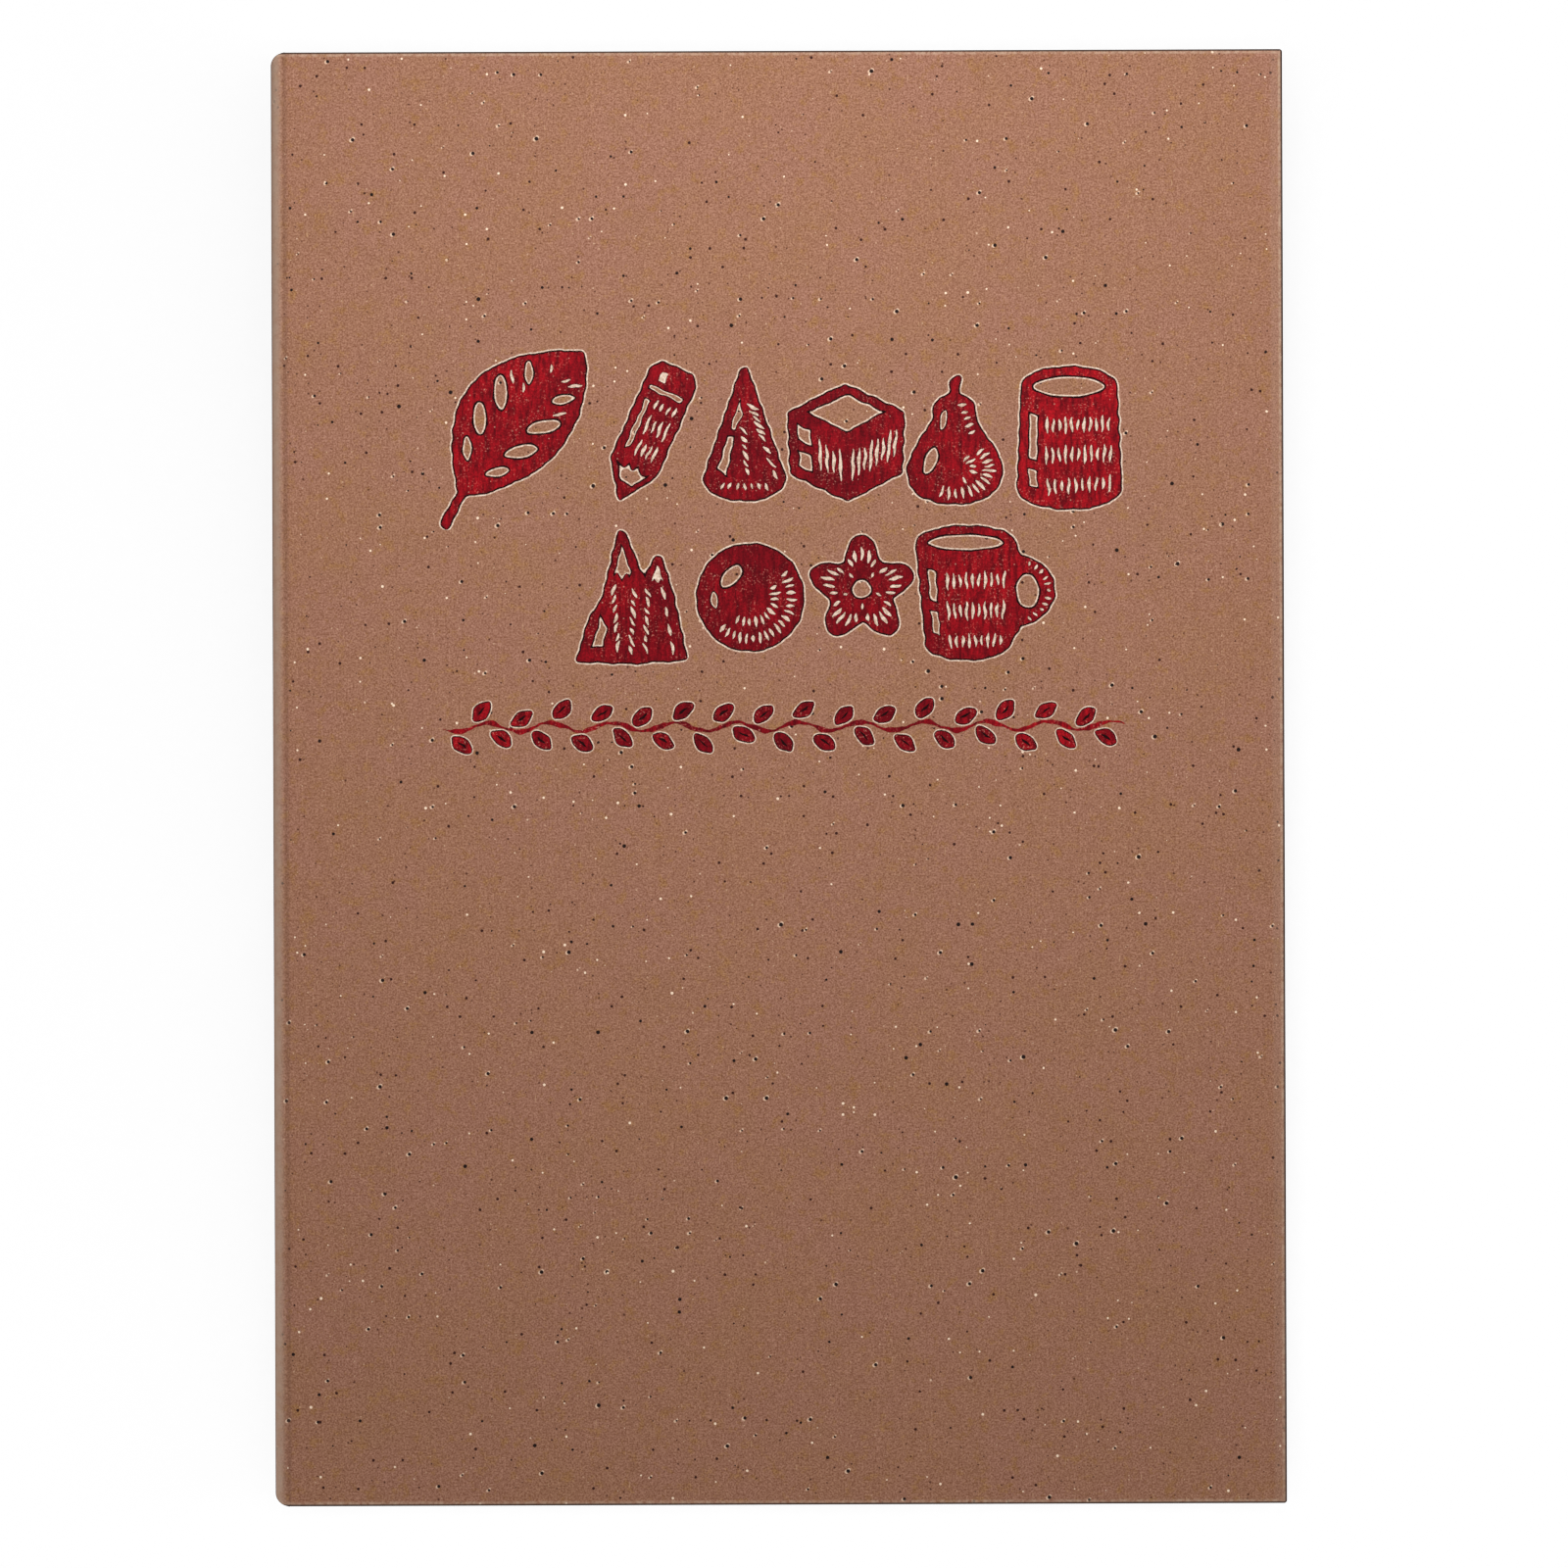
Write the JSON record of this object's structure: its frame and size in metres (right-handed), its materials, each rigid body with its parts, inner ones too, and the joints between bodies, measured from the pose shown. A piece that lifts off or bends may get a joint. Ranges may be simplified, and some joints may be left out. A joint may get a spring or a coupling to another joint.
{
  "type": "sketchbook",
  "caption": "Portrait hardcover sketchbook with kraft paper covers over boards, a paper spine and section-sewn drawing leaves.",
  "frame": {"origin": "centre of the closed book's underside, where the back cover rests", "axes": "+X from the spine to the fore-edge, +Y from the tail to the head, +Z from the back cover to the front cover"},
  "size_m": [0.211, 0.303, 0.02],
  "materials": {
    "kraft_paper": "matte unbleached kraft cover paper with dark and pale fibre specks",
    "greyboard": "matte grey binder's board",
    "drawing_paper": "matte off-white uncoated drawing paper",
    "endpaper": "matte cream uncoated endpaper",
    "spine_card": "thin grey card",
    "gauze": "open-weave starched cotton gauze",
    "thread": "white waxed sewing thread",
    "red_foil": "red hot-stamped foil with a soft metallic sheen"
  },
  "bodies": {
    "rear_half": {"spine_paper_rear": "kraft_paper", "spine_inlay_rear": "spine_card", "spine_gauze_rear": "gauze", "sewing_thread_rear": "thread", "section_5": "drawing_paper", "section_6": "drawing_paper", "section_7": "drawing_paper", "section_8": "drawing_paper"},
    "front_half": {"spine_paper_front": "kraft_paper", "spine_inlay_front": "spine_card", "spine_gauze_front": "gauze", "sewing_thread_front": "thread", "section_1": "drawing_paper", "section_2": "drawing_paper", "section_3": "drawing_paper", "section_4": "drawing_paper"},
    "front_cover": {"front_board": "greyboard", "front_cover_paper": "kraft_paper", "front_gauze_flange": "gauze", "front_pastedown": "endpaper"},
    "back_cover": {"back_board": "greyboard", "back_cover_paper": "kraft_paper", "back_gauze_flange": "gauze", "back_pastedown": "endpaper"},
    "front_flyleaf": {"front_flyleaf": "endpaper"},
    "back_flyleaf": {"back_flyleaf": "endpaper"},
    "centre_leaf_rear_1": {"centre_leaf_rear_1": "drawing_paper"},
    "centre_leaf_front_1": {"centre_leaf_front_1": "drawing_paper"},
    "centre_leaf_rear_2": {"centre_leaf_rear_2": "drawing_paper"},
    "centre_leaf_front_2": {"centre_leaf_front_2": "drawing_paper"},
    "centre_leaf_rear_3": {"centre_leaf_rear_3": "drawing_paper"},
    "centre_leaf_front_3": {"centre_leaf_front_3": "drawing_paper"}
  },
  "joints": [
    {"name": "centre_opening", "type": "hinge", "parent": "rear_half", "child": "front_half", "pos_m": [-0.10565, 0, 0.01], "axis": [0, -1, 0], "range_deg": [0, 179.5]},
    {"name": "front_cover_hinge", "type": "hinge", "parent": "front_half", "child": "front_cover", "pos_m": [-0.1041, 0, 0.0202], "axis": [0, -1, 0], "range_deg": [0, 179.5]},
    {"name": "back_cover_hinge", "type": "hinge", "parent": "rear_half", "child": "back_cover", "pos_m": [-0.1041, 0, -0.0002], "axis": [0, -1, 0], "range_deg": [-179.5, 0]},
    {"name": "front_flyleaf_fold", "type": "hinge", "parent": "front_half", "child": "front_flyleaf", "pos_m": [-0.10365, 0, 0.01635], "axis": [0, -1, 0], "range_deg": [0, 1.8]},
    {"name": "back_flyleaf_fold", "type": "hinge", "parent": "rear_half", "child": "back_flyleaf", "pos_m": [-0.10365, 0, 0.00365], "axis": [0, -1, 0], "range_deg": [-1.8, 0]},
    {"name": "centre_leaf_rear_1_fold", "type": "hinge", "parent": "rear_half", "child": "centre_leaf_rear_1", "pos_m": [-0.10365, 0, 0.0098], "axis": [0, -1, 0], "range_deg": [0, 10.8]},
    {"name": "centre_leaf_front_1_fold", "type": "hinge", "parent": "front_half", "child": "centre_leaf_front_1", "pos_m": [-0.10365, 0, 0.0102], "axis": [0, -1, 0], "range_deg": [-10.8, 0]},
    {"name": "centre_leaf_rear_2_fold", "type": "hinge", "parent": "rear_half", "child": "centre_leaf_rear_2", "pos_m": [-0.10365, 0, 0.0094], "axis": [0, -1, 0], "range_deg": [0, 6.3]},
    {"name": "centre_leaf_front_2_fold", "type": "hinge", "parent": "front_half", "child": "centre_leaf_front_2", "pos_m": [-0.10365, 0, 0.0106], "axis": [0, -1, 0], "range_deg": [-6.3, 0]},
    {"name": "centre_leaf_rear_3_fold", "type": "hinge", "parent": "rear_half", "child": "centre_leaf_rear_3", "pos_m": [-0.10365, 0, 0.009], "axis": [0, -1, 0], "range_deg": [0, 2.7]},
    {"name": "centre_leaf_front_3_fold", "type": "hinge", "parent": "front_half", "child": "centre_leaf_front_3", "pos_m": [-0.10365, 0, 0.011], "axis": [0, -1, 0], "range_deg": [-2.7, 0]}
  ],
  "couplings": [
    {"joint": "front_flyleaf_fold", "follows": "front_cover_hinge", "ratio": 0.01},
    {"joint": "back_flyleaf_fold", "follows": "back_cover_hinge", "ratio": 0.01},
    {"joint": "centre_leaf_rear_1_fold", "follows": "centre_opening", "ratio": 0.06},
    {"joint": "centre_leaf_front_1_fold", "follows": "centre_opening", "ratio": -0.06},
    {"joint": "centre_leaf_rear_2_fold", "follows": "centre_opening", "ratio": 0.035},
    {"joint": "centre_leaf_front_2_fold", "follows": "centre_opening", "ratio": -0.035},
    {"joint": "centre_leaf_rear_3_fold", "follows": "centre_opening", "ratio": 0.015},
    {"joint": "centre_leaf_front_3_fold", "follows": "centre_opening", "ratio": -0.015}
  ]
}
